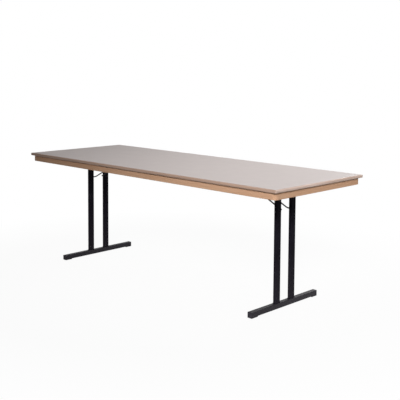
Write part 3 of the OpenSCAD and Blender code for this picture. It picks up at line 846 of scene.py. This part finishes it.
class TABLE_OT_laminates(bpy.types.Operator):
    """Press the laminates onto the core board."""

    bl_idname = "banquet_table.laminates"
    bl_label = "Laminates and Core"

    def execute(self, context):
        look = context.scene.table_finishes
        face = laminate_finish("Greige laminate", look.laminate, look.joint_line, "top_laminate")
        coat_nodes(["top_laminate"], face)
        back = laminate_finish("Backing laminate", look.backing, look.joint_line, "backing_laminate")
        coat_nodes(["backing_laminate"], back)
        coat_nodes(["core_board"], board_finish("Particle board", look.chips))
        return {"FINISHED"}


class TABLE_OT_edging(bpy.types.Operator):
    """Finish the rounded wood edging."""

    bl_idname = "banquet_table.edging"
    bl_label = "Edging"

    def execute(self, context):
        look = context.scene.table_finishes
        for along_x, names in GRAIN_RUNS:
            # The end edging takes the paler colour, a painted lighter copy of the same wood
            light, dark = (look.edging, look.edging_dark) if along_x else (look.edging_end_painted_light, look.edging)
            for number, name in enumerate(names):
                finish = wood_finish(
                    f"Rose edging {name}", light, dark, look.edging_dark, along_x, EDGING_START + number,
                    flecks=0.35, shine=0.09, gloss=0.36,
                )
                coat_nodes([f"{name}_edging"], finish)
        return {"FINISHED"}


class TABLE_OT_apron(bpy.types.Operator):
    """Finish the beech apron and its corner blocks."""

    bl_idname = "banquet_table.apron"
    bl_label = "Apron"

    def execute(self, context):
        look = context.scene.table_finishes
        beech = (look.beech, look.beech_dark, look.fleck)
        for along_x, names in GRAIN_RUNS:
            for number, name in enumerate(names):
                finish = wood_finish(f"Beech {name}", *beech, along_x, APRON_START + number)
                coat_nodes([f"{name}_apron"], finish)
        blocks = wood_finish("Beech blocks", *beech, True, BLOCKS_START, gloss=0.6)
        coat_nodes(["corner_blocks"], blocks)
        return {"FINISHED"}


class TABLE_OT_legs(bpy.types.Operator):
    """Coat the legs and finish the foot caps."""

    bl_idname = "banquet_table.legs"
    bl_label = "Legs"

    def execute(self, context):
        look = context.scene.table_finishes
        # The legs and feet take the painted floor light near the bottom
        upright = paint_finish("Black coat", look.paint, look.painted_floor_light)
        coat_nodes(on_each_side("front_column", "back_column", "cross_tube"), upright)
        feet = paint_finish("Black coat of the feet", look.paint, look.painted_floor_light, scuffs=0.25, shine=0.14)
        coat_nodes(on_each_side("foot_tube"), feet)
        caps = moulding_finish("Foot cap", look.moulding)
        coat_nodes(on_each_side("front_foot_cap", "back_foot_cap"), caps)
        return {"FINISHED"}


class TABLE_OT_hinges(bpy.types.Operator):
    """Finish the hinge brackets, stop bars, rods, caps and washers."""

    bl_idname = "banquet_table.hinges"
    bl_label = "Hinges"

    def execute(self, context):
        look = context.scene.table_finishes
        coat = paint_finish("Black coat of the hinges", look.paint, shine=0.22)
        coat_nodes(on_each_side("hinge_bracket", "stop_bar"), coat)
        rod = bright_finish("Turned steel", look.steel, stretch=(60.0, 2200.0, 60.0))
        coat_nodes(on_each_side("hinge_rod"), rod)
        cap = bright_finish("Pressed steel", look.steel, stretch=(400.0, 400.0, 400.0), smooth=0.32)
        coat_nodes(on_each_side("rod_cap"), cap)
        coat_nodes(on_each_side("hinge_washers"), nylon_finish("Natural nylon", look.nylon))
        return {"FINISHED"}


class TABLE_OT_catches(bpy.types.Operator):
    """Finish the catch rails."""

    bl_idname = "banquet_table.catches"
    bl_label = "Catch Rails"

    def execute(self, context):
        look = context.scene.table_finishes
        coat_nodes(on_each_side("catch_rail"), zinc_finish("Zinc sheet", look.zinc))
        return {"FINISHED"}


class TABLE_OT_bows(bpy.types.Operator):
    """Coat the wire bows."""

    bl_idname = "banquet_table.bows"
    bl_label = "Wire Bows"

    def execute(self, context):
        look = context.scene.table_finishes
        coat = paint_finish("Black coat of the wire", look.paint, peel=1500.0, shine=0.12)
        coat_nodes(on_each_side("bow"), coat)
        return {"FINISHED"}


class TABLE_OT_weld_beads(bpy.types.Operator):
    """Lay the weld beads of the legs and the stop bars."""

    bl_idname = "banquet_table.weld_beads"
    bl_label = "Weld Beads"

    def execute(self, context):
        look = context.scene.table_finishes
        sizes = context.scene.weld_sizes
        # Unlike the legs, the welds get no painted floor light, so the beads at the foot of the columns
        # stay darker than the paint round them: a painted contact shadow
        coat = paint_finish("Black coat of the welds", look.paint, peel=1400.0, shine=0.03)
        chance = random.Random(WELD_SEED)
        for side in SIDES:
            for place in PLACES:
                bead = column_bead(side, place, sizes, chance)
                new_piece(f"{side}_{place}_column_weld", bead, coat, f"{side}_leg")
                bead = cross_tube_bead(side, place, sizes, chance)
                new_piece(f"{side}_{place}_cross_tube_weld", bead, coat, f"{side}_leg")
            bead = stop_bar_bead(side, sizes, chance)
            new_piece(f"{side}_stop_bar_weld", bead, coat, "top")
        return {"FINISHED"}


class TABLE_OT_screws(bpy.types.Operator):
    """Put threaded screws with cross recesses where the plain ones are."""

    bl_idname = "banquet_table.screws"
    bl_label = "Screws"

    def execute(self, context):
        look = context.scene.table_finishes
        sizes = context.scene.screw_sizes
        finish = bright_finish("Zinc plated screw", look.zinc, stretch=(500.0, 500.0, 1500.0), smooth=0.30)
        metal_screws = on_each_side("bracket_screws", "catch_rail_screws")
        chance = random.Random(SCREW_SEED)
        for node in ("apron_screws", "corner_block_screws", *metal_screws):
            screws = screw_set(node, sizes, chance)
            piece = new_piece(f"{node}_cut", screws, finish, "top")
            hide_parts(node)
        return {"FINISHED"}


class TABLE_PT_panel(bpy.types.Panel):
    """Lists the steps that dress the table, and their settings."""

    bl_label = "Banquet Table"
    bl_idname = "TABLE_PT_panel"
    bl_space_type = "VIEW_3D"
    bl_region_type = "UI"
    bl_category = "Banquet Table"

    def draw(self, context):
        for step in STEPS:
            self.layout.operator(step.bl_idname)
        for group in GROUPS:
            settings = getattr(context.scene, group)
            box = self.layout.box()
            for name in settings.__annotations__:
                box.prop(settings, name)


GROUPS = {
    "table_finishes": TableFinishes,
    "weld_sizes": WeldSizes,
    "screw_sizes": ScrewSizes,
    "stage_settings": StageSettings,
}
STEPS = (
    TABLE_OT_stage,
    TABLE_OT_laminates,
    TABLE_OT_edging,
    TABLE_OT_apron,
    TABLE_OT_legs,
    TABLE_OT_hinges,
    TABLE_OT_catches,
    TABLE_OT_bows,
    TABLE_OT_weld_beads,
    TABLE_OT_screws,
)


def register():
    """Adds the settings, the steps and the panel."""
    for name, group in GROUPS.items():
        bpy.utils.register_class(group)
        setattr(bpy.types.Scene, name, bpy.props.PointerProperty(type=group))
    for step in STEPS:
        bpy.utils.register_class(step)
    bpy.utils.register_class(TABLE_PT_panel)


def unregister():
    """Takes them away again."""
    bpy.utils.unregister_class(TABLE_PT_panel)
    for step in reversed(STEPS):
        bpy.utils.unregister_class(step)
    for name, group in reversed(GROUPS.items()):
        delattr(bpy.types.Scene, name)
        bpy.utils.unregister_class(group)


def main():
    """Dresses the table."""
    register()
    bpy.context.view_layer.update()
    bpy.ops.banquet_table.stage()
    bpy.ops.banquet_table.laminates()
    bpy.ops.banquet_table.edging()
    bpy.ops.banquet_table.apron()
    bpy.ops.banquet_table.legs()
    bpy.ops.banquet_table.hinges()
    bpy.ops.banquet_table.catches()
    bpy.ops.banquet_table.bows()
    bpy.ops.banquet_table.weld_beads()
    bpy.ops.banquet_table.screws()


if __name__ == "__main__":
    main()
